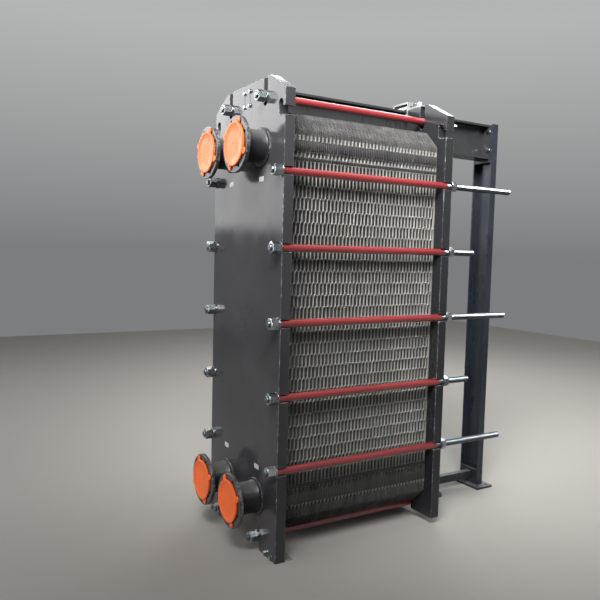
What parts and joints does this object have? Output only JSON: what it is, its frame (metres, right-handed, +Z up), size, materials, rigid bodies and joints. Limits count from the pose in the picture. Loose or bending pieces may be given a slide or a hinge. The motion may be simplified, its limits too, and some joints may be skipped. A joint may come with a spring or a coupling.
{
  "type": "plate heat exchanger",
  "caption": "Tall frame and plate heat exchanger: thin channel plates clamped between thick steel plates by threaded rods, with flanged ports and a carrying beam on a rear column.",
  "frame": {"origin": "floor level, under the middle of the whole unit", "axes": "+X to the right seen from the flanged side, +Y from the flanged frame plate towards the support column, +Z up"},
  "size_m": [0.8616, 2.028, 2.516],
  "materials": {
    "frame_paint": "dark grey semi-gloss paint on thick steel plate",
    "nozzle_paint": "dark grey paint, flange rims partly bare",
    "zinc_steel": "zinc plated steel, slightly dull",
    "channel_steel": "thin stainless steel plate edges",
    "gasket_rubber": "black rubber gasket",
    "sleeve_red": "glossy red plastic sleeve",
    "cover_orange": "orange plastic port cover"
  },
  "bodies": {
    "root": {"frame_plate": "frame_paint", "pressure_plate": "frame_paint", "carrying_beam": "frame_paint", "support_column": "frame_paint", "guide_bar": "frame_paint", "foot_bracket_left": "frame_paint", "foot_bracket_right": "frame_paint", "hanger_yoke": "zinc_steel", "hanger_roller": "zinc_steel", "nozzles": "nozzle_paint", "port_covers": "cover_orange", "channel_plates_1": "channel_steel", "gasket_pads_1": "gasket_rubber", "channel_plates_2": "channel_steel", "gasket_pads_2": "gasket_rubber", "channel_plates_3": "channel_steel", "gasket_pads_3": "gasket_rubber", "channel_plates_4": "channel_steel", "gasket_pads_4": "gasket_rubber", "channel_plates_5": "channel_steel", "gasket_pads_5": "gasket_rubber", "tie_rods_left": "zinc_steel", "rod_nuts_left": "zinc_steel", "rod_sleeves_left": "sleeve_red", "tie_rods_right": "zinc_steel", "rod_nuts_right": "zinc_steel", "rod_sleeves_right": "sleeve_red", "tie_rods_top": "zinc_steel", "rod_nuts_top": "zinc_steel", "rod_sleeves_top": "sleeve_red", "tie_rods_bottom": "zinc_steel", "rod_nuts_bottom": "zinc_steel", "rod_sleeves_bottom": "sleeve_red"}
  },
  "joints": []
}
